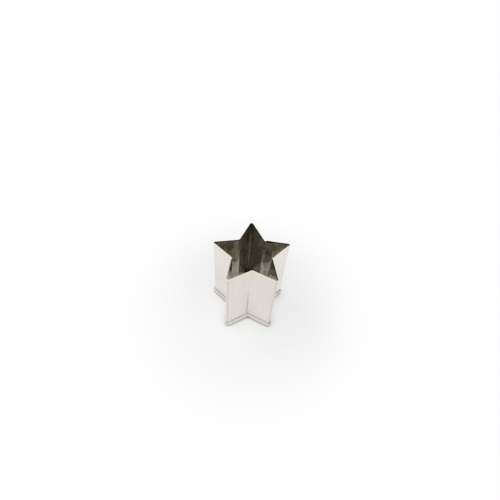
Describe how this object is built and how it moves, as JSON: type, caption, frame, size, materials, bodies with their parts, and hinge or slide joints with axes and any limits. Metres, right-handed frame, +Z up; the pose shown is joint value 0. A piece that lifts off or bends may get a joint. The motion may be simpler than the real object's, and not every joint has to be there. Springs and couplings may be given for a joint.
{
  "type": "cookie cutter",
  "caption": "Small star-shaped cookie cutter of thin bright steel, open at both ends, with a folded hem at its base and a plain cutting edge above.",
  "frame": {"origin": "on the star's axis, in the plane that the hem stands on", "axes": "+Z up along the walls towards the cutting edge, +Y towards one tip of the star"},
  "size_m": [0.031, 0.0296, 0.035],
  "materials": {
    "bright_sheet": "bright cold-rolled stainless sheet, mirror-like with faint upright rolling lines",
    "weld_metal": "matt grey weld nugget with a straw-coloured heat ring"
  },
  "bodies": {
    "root": {"star_band": "bright_sheet", "spot_weld_bottom": "weld_metal", "spot_weld_middle": "weld_metal", "spot_weld_top": "weld_metal"}
  },
  "joints": []
}
